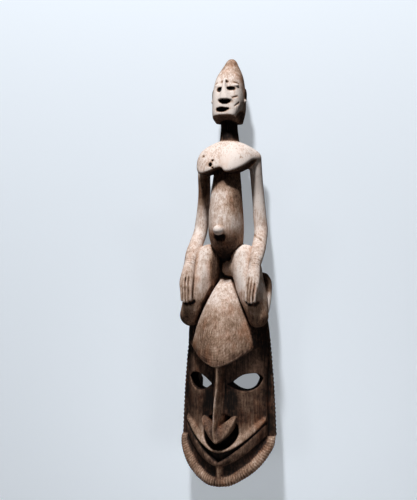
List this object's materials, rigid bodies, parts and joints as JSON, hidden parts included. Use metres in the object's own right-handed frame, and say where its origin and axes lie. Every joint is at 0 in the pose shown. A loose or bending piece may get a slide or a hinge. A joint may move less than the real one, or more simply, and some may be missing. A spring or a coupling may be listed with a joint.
{
  "type": "dance mask",
  "caption": "Carved wooden dance mask: a long hollow face with notched edges, arrow-shaped nose and domed forehead, and a seated female figure on its top.",
  "frame": {"origin": "middle of the underside of its bounding box, with the mask lying on its back", "axes": "+Y from the chin to the top of the figure's head, +Z out of the front of the face, +X to the viewer's right when facing it"},
  "size_m": [0.207, 0.8952, 0.154],
  "materials": {
    "wood": "dry and worn, darker in the recesses"
  },
  "bodies": {
    "root": {"mask": "wood"}
  },
  "joints": []
}
